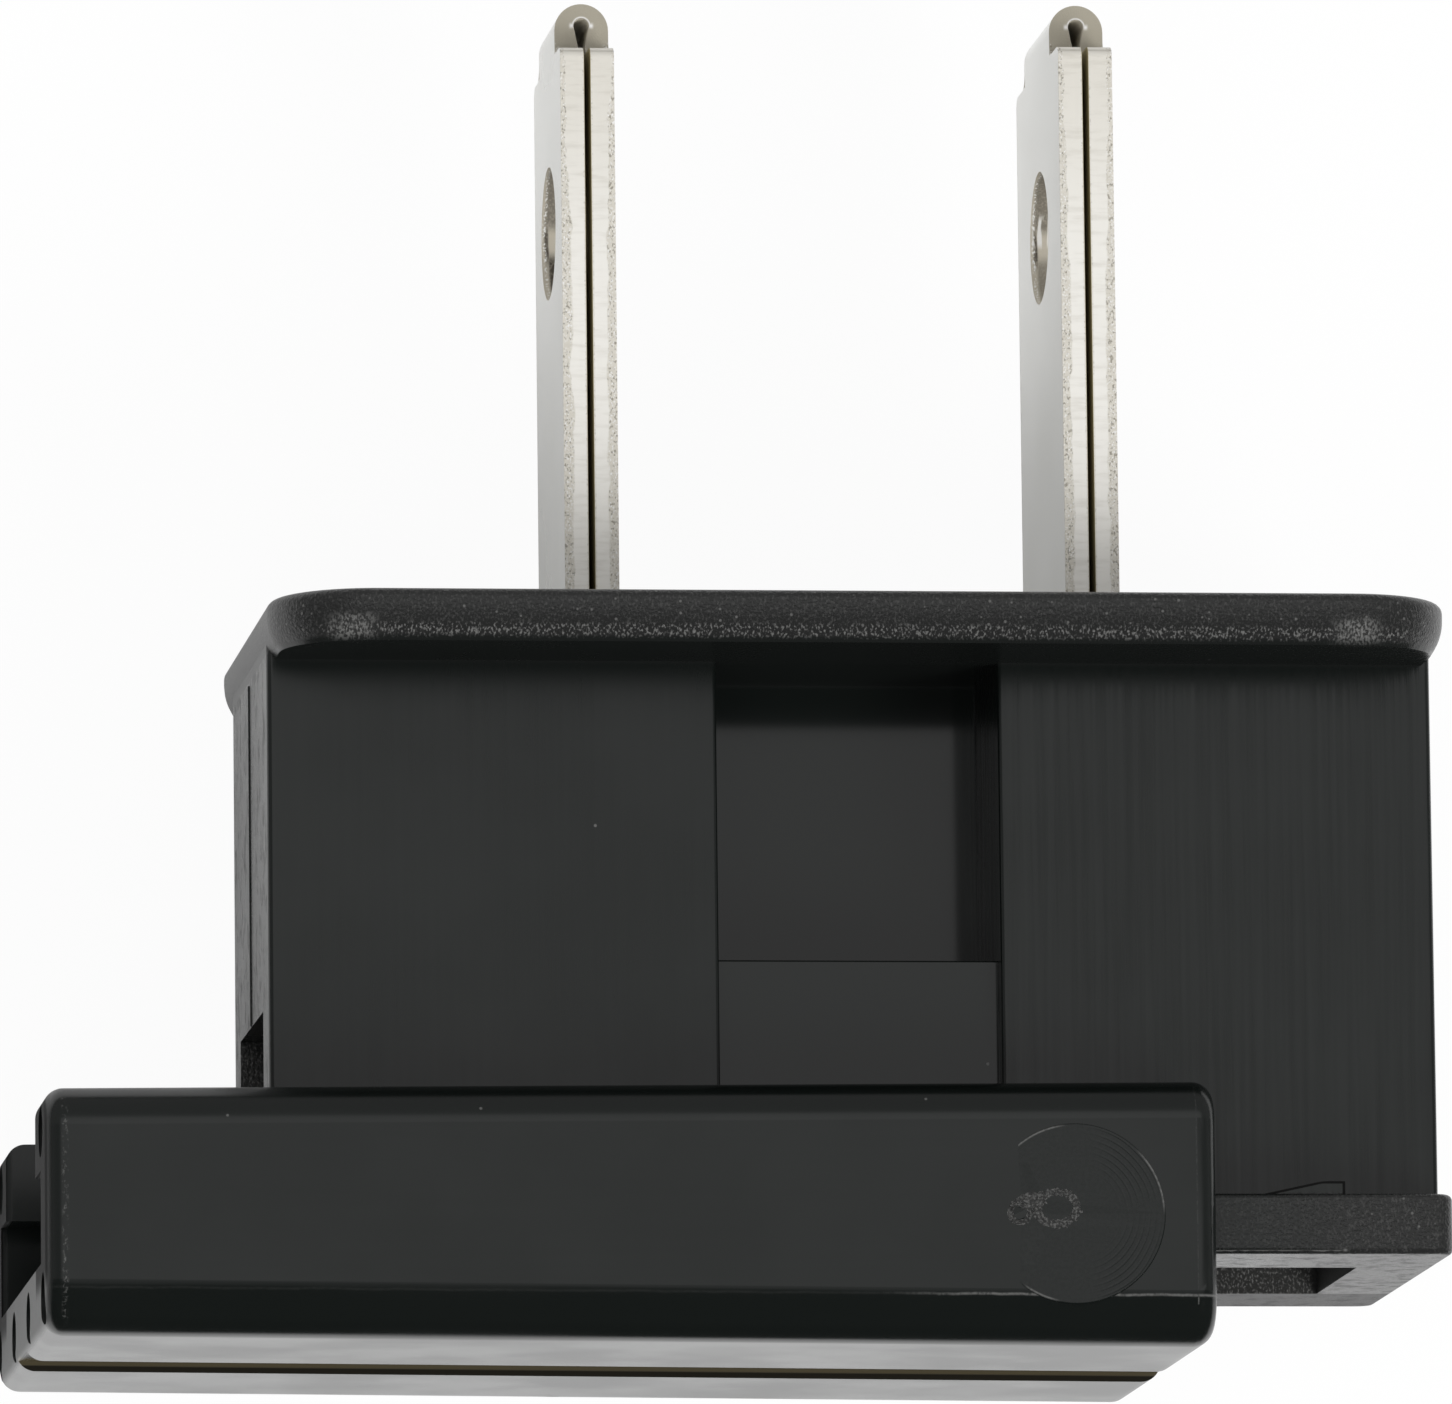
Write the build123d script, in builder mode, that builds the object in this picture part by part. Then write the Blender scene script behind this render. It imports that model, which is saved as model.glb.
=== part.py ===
from build123d import *
import os

os.makedirs("parts", exist_ok=True)

# Slide-on plug for flat lamp cord, in millimetres.
# X runs along the mating face, Y along the blades, Z towards the front; the plug lies on its back.
# The origin is the middle of the mating face, at mid depth.

# Blades: each is one strip, folded double at the tip; the right one is the wide blade
blade_spacing = 12.7
narrow_blade_width = 6.35
wide_blade_width = 7.94
blade_length = 16.1
leaf_thickness = 0.61
leaf_gap = 0.16
fold_eye_radius = 0.2
fold_eye_drop = 0.56
fold_eye_taper = 0.62
shoulder_inset_share = 0.205
shoulder_drop = 1.32
shoulder_inner_radius = 0.4
shoulder_outer_radius = 0.3
hole_diameter = 3.4
hole_below_tip = 5.65

# Blade roots and piercing teeth inside the body
root_depth = 8.0
tooth_width = 2.2
tooth_offset = 1.5
tooth_point_length = 2.4
tooth_point_flat = 0.3
tooth_above_rail_base = 1.3

# Body block and mating flange
body_length = 29.64
body_depth = 9.9
body_height = 16.5
body_edge_radius = 0.15
flange_depth = 17.65
flange_thickness = 1.3
flange_end_step = 0.1
flange_corner_radius = 2.6
flange_top_radius = 0.25
flange_bevel_height = 0.5
flange_bevel_angle = 32
flange_bevel_radius = 1.4

# Recess in the middle of the front and of the back
recess_width = 7.17
recess_shift = 0.16
recess_depth = 0.6
recess_edge_radius = 0.12
core_height = 8.82
core_web = 1.2
core_edge_radius = 0.06

# Rail under the body, with the ramp that the cover clicks past
rail_thickness = 1.53
rail_end_step = 0.12
rail_corner_radius = 0.5
rail_edge_radius = 0.15
ramp_length = 2.06
ramp_height = 0.32
ramp_crest_length = 0.58
ramp_crest_radius = 1.5
ramp_from_end = 2.76

# Wire pocket, open below and through the left end
pocket_width = 6.6
pocket_top = 10.04
pocket_end_wall = 1.99

# Cover: a channel with two lips that hook over the rail, drafted along its length
cover_length = 29.37
cover_open_shift = 6.045
cover_wall = 1.75
cover_floor = 1.84
lip_height = 1.975
lip_draft = 0.22
floor_draft = 0.28
cover_top_radius = 1.0
cover_base_radius = 1.3
cover_end_radius = 0.5
groove_width = 2.7
groove_depth = 0.25
groove_set_back = 0.5
pin_mark_diameter = 1.3
pin_mark_depth = 0.15
pin_mark_count = 4
pin_mark_from_side = 1.2

# How far the cover stays inside the flange, and its clearances to the body
cover_set_in = 0.205
side_clearance = 0.15
neck_clearance = 0.15
lip_clearance = 0.5
floor_clearance = 0.3

# Places worked out from the sizes above
blade_thickness = 2 * leaf_thickness + leaf_gap
shoulder_y = blade_length - shoulder_drop
leaf_centre = (leaf_gap + leaf_thickness) / 2
cover_depth = flange_depth - 2 * cover_set_in
rail_depth = cover_depth - 2 * (cover_wall + side_clearance)
rail_overhang = (rail_depth - body_depth) / 2
rail_top_y = rail_thickness - body_height
rail_half_length = body_length / 2 + rail_end_step
flange_length = body_length + 2 * flange_end_step
flange_bevel_y = flange_bevel_height - flange_thickness
tooth_tip_y = tooth_above_rail_base - body_height
lip_under_y = rail_top_y + lip_clearance
floor_y = -body_height - floor_clearance
cover_left_x = -cover_length / 2 - cover_open_shift
lip_spacing = cover_depth / 2 + body_depth / 2 + neck_clearance
pin_mark_pitch = (cover_depth - 2 * pin_mark_from_side) / (pin_mark_count - 1)


# One blade; the right one is turned half a turn about Y, so that its tooth meets the other core
def build_blade(label, side, blade_width):
    front = Plane(origin=(side * blade_spacing / 2, 0, 0), x_dir=(-side, 0, 0), z_dir=(0, 0, -side))
    flank = Plane(origin=front.origin, x_dir=front.z_dir, z_dir=-front.x_dir)
    fold_width = blade_width * (1 - 2 * shoulder_inset_share)
    bend_y = blade_length - blade_thickness / 2
    eye_y = blade_length - fold_eye_drop
    with BuildPart() as blade:
        # Folded strip, seen along the width of the blade
        with BuildSketch(front):
            with Locations((0, (bend_y - root_depth) / 2)):
                Rectangle(blade_thickness, bend_y + root_depth)
            with Locations((0, bend_y)):
                Circle(blade_thickness / 2)
            with Locations((0, (eye_y - root_depth) / 2)):
                Rectangle(leaf_gap, eye_y + root_depth, mode=Mode.SUBTRACT)
            with Locations((0, eye_y)):
                Circle(fold_eye_radius, mode=Mode.SUBTRACT)
            with BuildLine():
                Polyline(
                    (-fold_eye_radius, eye_y),
                    (fold_eye_radius, eye_y),
                    (leaf_gap / 2, eye_y - fold_eye_taper),
                    (-leaf_gap / 2, eye_y - fold_eye_taper),
                    close=True,
                )
            make_face(mode=Mode.SUBTRACT)
        extrude(amount=blade_width / 2, both=True)
        # Outline of the flat blade: shoulders below a narrower fold
        with BuildSketch(flank):
            with Locations((0, (shoulder_y - root_depth) / 2)):
                Rectangle(blade_width, shoulder_y + root_depth)
            with Locations((0, (blade_length - root_depth) / 2)):
                Rectangle(fold_width, blade_length + root_depth)
            shoulders = vertices().filter_by_position(Axis.Y, shoulder_y, shoulder_y)
            shoulder_pairs = shoulders.sort_by(lambda corner: abs(corner.X))
            fillet(shoulder_pairs[:2], shoulder_inner_radius)
            outer_corners = vertices().group_by(lambda corner: round(abs(corner.X), 3))[-1]
            fillet(outer_corners.sort_by(Axis.Y)[-2:], shoulder_outer_radius)
        extrude(amount=blade_thickness, both=True, mode=Mode.INTERSECT)
        # Cross hole through both leaves
        with BuildSketch(flank):
            with Locations((0, blade_length - hole_below_tip)):
                Circle(hole_diameter / 2)
        extrude(amount=blade_thickness, both=True, mode=Mode.SUBTRACT)
        # Leg of the inner leaf, ending in the tooth
        with BuildSketch(flank.offset(-leaf_centre)):
            with BuildLine():
                Polyline(
                    (tooth_offset - tooth_width / 2, -root_depth),
                    (tooth_offset - tooth_width / 2, tooth_tip_y + tooth_point_length),
                    (tooth_offset - tooth_point_flat / 2, tooth_tip_y),
                    (tooth_offset + tooth_point_flat / 2, tooth_tip_y),
                    (tooth_offset + tooth_width / 2, tooth_tip_y + tooth_point_length),
                    (tooth_offset + tooth_width / 2, -root_depth),
                    close=True,
                )
            make_face()
        extrude(amount=leaf_thickness / 2, both=True)
    blade.part.label = label
    return blade.part


left_blade = build_blade("left_blade", -1, narrow_blade_width)
export_step(left_blade, "parts/left_blade.step")

right_blade = build_blade("right_blade", 1, wide_blade_width)
export_step(right_blade, "parts/right_blade.step")


# Body: rail, flange and block in one moulding
with BuildPart() as plug_body:
    # Rail that the cover hooks over
    with BuildSketch(Plane.XZ.offset(-rail_top_y)):
        RectangleRounded(2 * rail_half_length, rail_depth, rail_corner_radius)
    extrude(amount=rail_thickness)
    fillet(plug_body.faces().filter_by(Axis.Y).edges(), rail_edge_radius)
    # Mating flange, with a rounded rim that draws in towards its base
    with BuildSketch(Plane.XZ):
        RectangleRounded(flange_length, flange_depth, flange_corner_radius)
    extrude(amount=-flange_bevel_y)
    with BuildSketch(Plane.XZ.offset(-flange_bevel_y)):
        RectangleRounded(flange_length, flange_depth, flange_corner_radius)
    extrude(amount=flange_bevel_height, taper=flange_bevel_angle)
    fillet(plug_body.edges().filter_by_position(Axis.Y, flange_bevel_y, flange_bevel_y), flange_bevel_radius)
    fillet(plug_body.faces().sort_by(Axis.Y)[-1].edges(), flange_top_radius)
    # Block, which runs up into the flange so that its ends stay flush
    with BuildSketch(Plane.XZ.offset(flange_top_radius)):
        RectangleRounded(body_length, body_depth, body_edge_radius)
    extrude(amount=body_height - flange_top_radius)
    # Ramp on the front of the rail, rising to the right
    with BuildSketch(Plane.XY.offset(body_depth / 2)):
        with BuildLine():
            ramp_end_x = rail_half_length - ramp_from_end
            Polyline(
                (ramp_end_x - ramp_length, rail_top_y),
                (ramp_end_x, rail_top_y),
                (ramp_end_x, rail_top_y + ramp_height),
                (ramp_end_x - ramp_crest_length, rail_top_y + ramp_height),
                close=True,
            )
        make_face()
        fillet(vertices().sort_by(Axis.X)[1], ramp_crest_radius)
    extrude(amount=rail_overhang - rail_edge_radius)
    # Recess and core pocket on the front and on the back
    for face_sign in (1, -1):
        recess_height = -rail_top_y - flange_thickness
        panel_z = face_sign * body_depth / 2
        ledge_z = panel_z - face_sign * recess_depth
        with BuildSketch(Plane.XY.offset(panel_z)):
            with Locations((recess_shift, -flange_thickness - recess_height / 2)):
                Rectangle(recess_width, recess_height)
        extrude(amount=-face_sign * recess_depth, mode=Mode.SUBTRACT)
        with BuildSketch(Plane.XY.offset(panel_z)):
            with Locations((recess_shift, -(flange_thickness + core_height) / 2)):
                Rectangle(recess_width, core_height - flange_thickness)
        extrude(amount=-face_sign * (body_depth - core_web) / 2, mode=Mode.SUBTRACT)
        core_rims = plug_body.edges().filter_by_position(Axis.Y, -core_height, -core_height)
        fillet(core_rims.filter_by_position(Axis.Z, ledge_z, ledge_z), core_edge_radius)
        panel_edges = plug_body.edges().filter_by(Axis.Y).filter_by_position(Axis.Z, panel_z, panel_z)
        fillet(panel_edges.filter_by_position(Axis.X, -recess_width, recess_width), recess_edge_radius)
    # Wire pocket, cut from below and out through the left end
    with BuildSketch(Plane.XZ.offset(body_height)):
        pocket_right_x = rail_half_length - pocket_end_wall
        with Locations(((pocket_right_x - rail_half_length) / 2, 0)):
            Rectangle(pocket_right_x + rail_half_length, pocket_width)
    extrude(amount=pocket_top - body_height, mode=Mode.SUBTRACT)
    # Seats of the blades, and the slots that their legs pass through
    for side, seat_width in ((-1, narrow_blade_width), (1, wide_blade_width)):
        with BuildSketch(Plane.XZ):
            with Locations((side * blade_spacing / 2, 0)):
                Rectangle(blade_thickness, seat_width)
        extrude(amount=root_depth, mode=Mode.SUBTRACT)
        with BuildSketch(Plane.XZ):
            with Locations((side * (blade_spacing / 2 - leaf_centre), -side * tooth_offset)):
                Rectangle(leaf_thickness, tooth_width)
        extrude(amount=pocket_top, mode=Mode.SUBTRACT)
plug_body.part.label = "plug_body"
export_step(plug_body.part, "parts/plug_body.step")


# Cover: a drafted block, hollowed by a T-shaped slot
with BuildPart() as slide_cover:
    # Outside, lofted from the slim left end to the deeper right end
    for end_x, draft in ((cover_left_x, 0), (cover_left_x + cover_length, 1)):
        lip_top_y = lip_under_y + lip_height + draft * lip_draft
        base_y = floor_y - cover_floor - draft * floor_draft
        with BuildSketch(Plane.YZ.offset(end_x)):
            with Locations(((lip_top_y + base_y) / 2, 0)):
                Rectangle(lip_top_y - base_y, cover_depth)
            fillet(vertices().sort_by(Axis.X)[-2:], cover_top_radius)
            fillet(vertices().sort_by(Axis.X)[:2], cover_base_radius)
    loft()
    fillet(slide_cover.faces().filter_by(Axis.X).edges(), cover_end_radius)
    # Shallow groove along the underside, a little behind the middle
    underside = slide_cover.faces().sort_by(Axis.Y)[0]
    groove_plane = Plane(origin=underside.center(), x_dir=(0, 0, 1), z_dir=underside.normal_at())
    with BuildSketch(groove_plane):
        with Locations((-groove_set_back, 0)):
            Rectangle(groove_width, 2 * cover_length)
    extrude(amount=-groove_depth, mode=Mode.SUBTRACT)
    # Round marks of the ejector pins on the left end: a row on the floor and one on each lip
    with BuildSketch(Plane.YZ.offset(cover_left_x)):
        with Locations((floor_y - cover_floor / 2, 0)):
            with GridLocations(0, pin_mark_pitch, 1, pin_mark_count):
                Circle(pin_mark_diameter / 2)
        with Locations((lip_under_y + lip_height / 2, 0)):
            with GridLocations(0, lip_spacing, 1, 2):
                Circle(pin_mark_diameter / 2)
    extrude(amount=pin_mark_depth, mode=Mode.SUBTRACT)
    # Slot for the rail, and the neck between the lips
    with BuildSketch(Plane.YZ.offset(cover_left_x)):
        with Locations(((lip_under_y + floor_y) / 2, 0)):
            Rectangle(lip_under_y - floor_y, rail_depth + 2 * side_clearance)
        neck_height = lip_height + lip_draft + lip_clearance
        with Locations((lip_under_y + neck_height / 2, 0)):
            Rectangle(neck_height, body_depth + 2 * neck_clearance)
    extrude(amount=cover_length, mode=Mode.SUBTRACT)
slide_cover.part.label = "slide_cover"
export_step(slide_cover.part, "parts/slide_cover.step")
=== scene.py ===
import random
from math import pi, radians

import bmesh
import bpy
from bpy.props import FloatProperty, FloatVectorProperty, IntProperty, PointerProperty
from mathutils import Matrix, Vector


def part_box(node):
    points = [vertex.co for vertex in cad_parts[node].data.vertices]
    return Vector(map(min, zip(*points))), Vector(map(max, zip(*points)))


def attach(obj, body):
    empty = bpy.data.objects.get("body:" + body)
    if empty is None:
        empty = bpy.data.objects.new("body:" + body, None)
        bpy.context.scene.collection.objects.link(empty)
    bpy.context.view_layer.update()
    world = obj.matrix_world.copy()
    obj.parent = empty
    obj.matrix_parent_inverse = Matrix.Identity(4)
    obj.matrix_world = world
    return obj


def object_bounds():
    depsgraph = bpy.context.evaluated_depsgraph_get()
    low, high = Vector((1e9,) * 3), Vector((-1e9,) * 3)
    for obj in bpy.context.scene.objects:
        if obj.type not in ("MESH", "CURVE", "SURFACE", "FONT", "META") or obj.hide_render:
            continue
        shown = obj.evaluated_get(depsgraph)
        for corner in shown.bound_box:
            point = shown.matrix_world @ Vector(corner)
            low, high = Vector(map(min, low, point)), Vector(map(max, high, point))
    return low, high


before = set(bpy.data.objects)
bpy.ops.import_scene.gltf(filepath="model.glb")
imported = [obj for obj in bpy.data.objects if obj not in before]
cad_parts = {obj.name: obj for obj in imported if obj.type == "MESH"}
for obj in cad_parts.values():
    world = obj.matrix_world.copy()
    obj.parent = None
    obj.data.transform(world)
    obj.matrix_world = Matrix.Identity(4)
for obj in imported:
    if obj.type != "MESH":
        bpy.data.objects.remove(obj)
CAD_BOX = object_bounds()

bl_info = {
    "name": "Slide-on lamp cord plug",
    "version": (1, 0, 0),
    "blender": (4, 5, 0),
    "location": "3D View > Sidebar > Plug",
    "description": "Finishes, moulding marks and stage of a polarised slide-on lamp cord plug",
    "category": "Object",
}

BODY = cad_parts["plug_body"]
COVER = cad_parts["slide_cover"]
LEFT_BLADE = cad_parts["left_blade"]
RIGHT_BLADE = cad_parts["right_blade"]

BODY_LOW, BODY_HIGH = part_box("plug_body")
COVER_LOW, COVER_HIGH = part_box("slide_cover")


class PlugPlasticSettings(bpy.types.PropertyGroup):
    """Black moulded plastic of the body and the cover"""

    colour: FloatVectorProperty(
        name="Plastic colour", description="Black of the smooth faces", subtype="COLOR",
        size=4, min=0.0, max=1.0, default=(0.0052, 0.0068, 0.0061, 1.0))
    grain_colour: FloatVectorProperty(
        name="Grain colour", description="Black of the grained flange and rail", subtype="COLOR",
        size=4, min=0.0, max=1.0, default=(0.0165, 0.0168, 0.0165, 1.0))
    # Painted light: the wire pocket is paler than the grain, standing for light that reaches into it
    pocket_lit_colour: FloatVectorProperty(
        name="Pocket colour", description="Dusty black of the wire pocket", subtype="COLOR",
        size=4, min=0.0, max=1.0, default=(0.030, 0.030, 0.029, 1.0))
    # Brown of dust in the groove, with a painted warm reflection along it
    groove_dust_and_reflection_colour: FloatVectorProperty(
        name="Groove colour", description="Brownish black of the groove in the cover", subtype="COLOR",
        size=4, min=0.0, max=1.0, default=(0.080, 0.067, 0.040, 1.0))
    # Grey of rubbed edges and dust specks, also used for painted highlights and glints
    wear_and_highlight_colour: FloatVectorProperty(
        name="Worn colour", description="Grey of rubbed edges and specks", subtype="COLOR",
        size=4, min=0.0, max=1.0, default=(0.17, 0.17, 0.165, 1.0))
    # Black of scratches, and of painted shade along outlines and edges
    scratch_and_shade_colour: FloatVectorProperty(
        name="Shade colour", description="Dull black of scratches and outlines", subtype="COLOR",
        size=4, min=0.0, max=1.0, default=(0.0025, 0.0025, 0.0025, 1.0))
    panel_roughness: FloatProperty(
        name="Panel roughness", description="Gloss of the flat panels", subtype="FACTOR",
        min=0.0, max=1.0, default=0.25)
    recess_roughness: FloatProperty(
        name="Recess roughness", description="Gloss of the polished recess", subtype="FACTOR",
        min=0.0, max=1.0, default=0.10)
    grain_roughness: FloatProperty(
        name="Grain roughness", description="Gloss of the grained flange and rail", subtype="FACTOR",
        min=0.0, max=1.0, default=0.30)
    shade_roughness: FloatProperty(
        name="Shade roughness", description="Dullness of scratches and outlines", subtype="FACTOR",
        min=0.0, max=1.0, default=0.85)
    grain_size: FloatProperty(
        name="Grain size", description="Width of one grain of the flange", unit="LENGTH",
        min=0.00002, max=0.001, default=0.00008)
    grain_height: FloatProperty(
        name="Grain height", description="Height of the grain", unit="LENGTH",
        min=0.0, max=0.0002, default=0.000026)
    streak_height: FloatProperty(
        name="Streak height", description="Height of the drawn streaks on the panels", unit="LENGTH",
        min=0.0, max=0.0002, default=0.000014)


class PlugZoneSettings(bpy.types.PropertyGroup):
    """Where one finish of the body ends and the next begins"""

    flange_thickness: FloatProperty(
        name="Flange thickness", description="Flange under the mating face", unit="LENGTH",
        default=0.0013)
    # The grey rim low on the flange is a painted highlight of the grain
    rim_height: FloatProperty(
        name="Rim height", description="Rubbed rim low on the front of the flange", unit="LENGTH",
        default=0.00030)
    # The grey corner patches of the flange are painted highlights of the grain
    patch_place: FloatProperty(
        name="Patch place", description="Distance from the middle to the rubbed corners of the flange",
        unit="LENGTH", default=0.0127)
    rail_thickness: FloatProperty(
        name="Rail thickness", description="Grained rail at the foot of the body", unit="LENGTH",
        default=0.00153)
    rail_depth: FloatProperty(
        name="Rail depth", description="Distance from the middle to the front of the rail", unit="LENGTH",
        default=0.00657)
    ramp_start: FloatProperty(
        name="Ramp start", description="Left end of the catch ramp on the rail", unit="LENGTH",
        default=0.01012)
    ramp_crest: FloatProperty(
        name="Ramp crest", description="Left end of the ramp's level top", unit="LENGTH",
        default=0.01160)
    ramp_end: FloatProperty(
        name="Ramp end", description="Steep right end of the ramp", unit="LENGTH", default=0.01218)
    ramp_height: FloatProperty(
        name="Ramp height", description="Height of the ramp above the rail", unit="LENGTH",
        default=0.00032)
    panel_depth: FloatProperty(
        name="Panel depth", description="Distance from the middle to the front panels", unit="LENGTH",
        default=0.00495)
    recess_shift: FloatProperty(
        name="Recess shift", description="How far the recess stands to the right", unit="LENGTH",
        default=0.00016)
    recess_half_width: FloatProperty(
        name="Recess half width", description="Half the width of the recess", unit="LENGTH",
        default=0.003585)
    pocket_half_width: FloatProperty(
        name="Pocket half width", description="Half the width of the wire pocket", unit="LENGTH",
        default=0.0033)
    pocket_top: FloatProperty(
        name="Pocket top", description="Ceiling of the wire pocket", unit="LENGTH", default=-0.01004)
    pocket_right: FloatProperty(
        name="Pocket right end", description="End wall of the wire pocket", unit="LENGTH",
        default=0.01283)
    cover_draft: FloatProperty(
        name="Cover draft", description="How far the cover's underside falls from left to right",
        unit="LENGTH", default=0.00028)
    groove_depth: FloatProperty(
        name="Groove depth", description="Depth of the groove in the underside", unit="LENGTH",
        default=0.00025)
    groove_front: FloatProperty(
        name="Groove front", description="Front wall of the groove", unit="LENGTH", default=0.00086)
    groove_back: FloatProperty(
        name="Groove back", description="Back wall of the groove", unit="LENGTH", default=-0.00186)
    lip_inside: FloatProperty(
        name="Lip inside", description="Distance from the middle to the lips of the cover", unit="LENGTH",
        default=0.0052)
    body_half_length: FloatProperty(
        name="Body half length", description="Distance from the middle to the ends of the body",
        unit="LENGTH", default=0.01482)


class PlugNickelSettings(bpy.types.PropertyGroup):
    """Nickel-plated strip of the blades"""

    face_colour: FloatVectorProperty(
        name="Face colour", description="Plated flat faces", subtype="COLOR",
        size=4, min=0.0, max=1.0, default=(0.82, 0.82, 0.785, 1.0))
    shear_colour: FloatVectorProperty(
        name="Shear colour", description="Sheared edges of the strip", subtype="COLOR",
        size=4, min=0.0, max=1.0, default=(0.96, 0.94, 0.885, 1.0))
    torn_colour: FloatVectorProperty(
        name="Torn colour", description="Torn bands along the sheared edges", subtype="COLOR",
        size=4, min=0.0, max=1.0, default=(0.70, 0.66, 0.57, 1.0))
    fold_colour: FloatVectorProperty(
        name="Fold colour", description="Sheared end of the fold at the tip", subtype="COLOR",
        size=4, min=0.0, max=1.0, default=(0.45, 0.415, 0.335, 1.0))
    wall_colour: FloatVectorProperty(
        name="Wall colour", description="Walls of the cross hole", subtype="COLOR",
        size=4, min=0.0, max=1.0, default=(0.66, 0.61, 0.51, 1.0))
    brass_colour: FloatVectorProperty(
        name="Brass colour", description="Dull brass between the leaves", subtype="COLOR",
        size=4, min=0.0, max=1.0, default=(0.36, 0.31, 0.17, 1.0))
    # Dark of the pits, and of painted shade along the corners of the faces
    pit_and_shade_colour: FloatVectorProperty(
        name="Pit colour", description="Dull pits of the torn edges", subtype="COLOR",
        size=4, min=0.0, max=1.0, default=(0.21, 0.185, 0.135, 1.0))
    stain_colour: FloatVectorProperty(
        name="Stain colour", description="Dark stains on the walls of the cross hole", subtype="COLOR",
        size=4, min=0.0, max=1.0, default=(0.060, 0.048, 0.034, 1.0))
    # Painted highlights of torn points, hole mouths and the fold
    glint_colour: FloatVectorProperty(
        name="Glint colour", description="Bright torn points of the sheared edges", subtype="COLOR",
        size=4, min=0.0, max=1.0, default=(0.98, 0.97, 0.95, 1.0))
    face_roughness: FloatProperty(
        name="Face roughness", description="Gloss of the flat faces", subtype="FACTOR",
        min=0.0, max=1.0, default=0.24)
    shear_roughness: FloatProperty(
        name="Shear roughness", description="Gloss of the sheared edges", subtype="FACTOR",
        min=0.0, max=1.0, default=0.45)
    shear_metal: FloatProperty(
        name="Shear metal", description="How metallic the torn edges look", subtype="FACTOR",
        min=0.0, max=1.0, default=0.28)
    # The brightness of the rubbed band is a painted highlight
    hole_polish: FloatProperty(
        name="Hole polish", description="How bright the rubbed part of the wide blade's hole is",
        subtype="FACTOR", min=0.0, max=1.0, default=0.9)
    leaf_gap: FloatProperty(
        name="Leaf gap", description="Gap between the two leaves of a blade", unit="LENGTH",
        default=0.00016)
    eye_radius: FloatProperty(
        name="Eye radius", description="Radius of the eye inside the fold", unit="LENGTH",
        default=0.0002)
    eye_drop: FloatProperty(
        name="Eye drop", description="Distance from the tip to the middle of the eye", unit="LENGTH",
        default=0.00056)
    hole_radius: FloatProperty(
        name="Hole radius", description="Radius of the cross hole", unit="LENGTH", default=0.0017)
    hole_below_tip: FloatProperty(
        name="Hole below tip", description="Distance from the tip to the hole", unit="LENGTH",
        default=0.00565)
    shoulder_radius: FloatProperty(
        name="Shoulder radius", description="Rounding of the shoulders", unit="LENGTH", default=0.0003)
    fold_drop: FloatProperty(
        name="Fold drop", description="Height of the narrower fold above the shoulders", unit="LENGTH",
        default=0.00132)
    fold_share: FloatProperty(
        name="Fold share", description="Width of the fold as a share of the blade", subtype="FACTOR",
        default=0.59)


class PlugMarkSettings(bpy.types.PropertyGroup):
    """Marks that the mould leaves"""

    gate_centre: FloatVectorProperty(
        name="Gate pad centre", description="Middle of the round pad on the cover", subtype="XYZ",
        size=3, unit="LENGTH", default=(0.00504, -0.015695, COVER_HIGH.z))
    gate_radius: FloatProperty(
        name="Gate pad radius", description="Radius of the round pad", unit="LENGTH", default=0.00227)
    gate_flat: FloatProperty(
        name="Gate pad flat", description="Distance from the middle to the flat left side",
        unit="LENGTH", default=0.00147)
    gate_rise: FloatProperty(
        name="Gate pad rise", description="How far the pad stands above the cover",
        unit="LENGTH", default=0.000020)
    scar_height: FloatProperty(
        name="Scar height", description="Height of the torn ring on the pad", unit="LENGTH",
        default=0.000045)
    flash_width: FloatProperty(
        name="Flash width", description="Width of the parting line", unit="LENGTH", default=0.00009)
    seed: IntProperty(name="Seed", description="Order of the small random shapes", default=7)


class PlugStageSettings(bpy.types.PropertyGroup):
    """Floor, light and camera"""

    floor_colour: FloatVectorProperty(
        name="Floor colour", description="Pale sheet that the plug lies on", subtype="COLOR",
        size=4, min=0.0, max=1.0, default=(0.92, 0.92, 0.92, 1.0))
    left_power: FloatProperty(
        name="Left lamp power", description="Power of the weak left lamp", unit="POWER", default=0.7)
    right_power: FloatProperty(
        name="Right lamp power", description="Power of the right lamp", unit="POWER", default=2.2)
    camera_place: FloatVectorProperty(
        name="Camera place", description="Where the camera stands", subtype="XYZ", size=3,
        unit="LENGTH", default=(-0.050283, -0.057411, 0.401837))
    camera_lens: FloatProperty(name="Lens", description="Focal length in millimetres", default=396.05)


def put(tree, kind, sockets=(), **options):
    """Adds a node, sets its options and fills its sockets with values or links."""
    made = tree.nodes.new(kind)
    for name, value in options.items():
        setattr(made, name, value)
    for key, value in dict(sockets).items():
        if isinstance(value, bpy.types.NodeSocket):
            tree.links.new(value, made.inputs[key])
        else:
            made.inputs[key].default_value = value
    return made


def join(kind, sockets, **options):
    """Adds a node to the tree of the sockets that are linked to it."""
    trees = [value.id_data for value in sockets.values() if isinstance(value, bpy.types.NodeSocket)]
    return put(trees[0], kind, sockets, **options)


def calc(operation, first, second=0.0):
    """One step of arithmetic on two numbers or sockets."""
    return join("ShaderNodeMath", {0: first, 1: second}, operation=operation).outputs[0]


def plus(first, second):
    """Sum of two numbers."""
    return calc("ADD", first, second)


def less(first, second):
    """First number less the second."""
    return calc("SUBTRACT", first, second)


def unsigned(value):
    """A number without its sign."""
    return calc("ABSOLUTE", value)


def both(*masks):
    """Where all masks hold; a plain number among them weakens them."""
    result = masks[0]
    for mask in masks[1:]:
        result = calc("MULTIPLY", result, mask)
    return result


def either(*masks):
    """Where any mask holds."""
    result = masks[0]
    for mask in masks[1:]:
        result = calc("MAXIMUM", result, mask)
    return result


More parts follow.
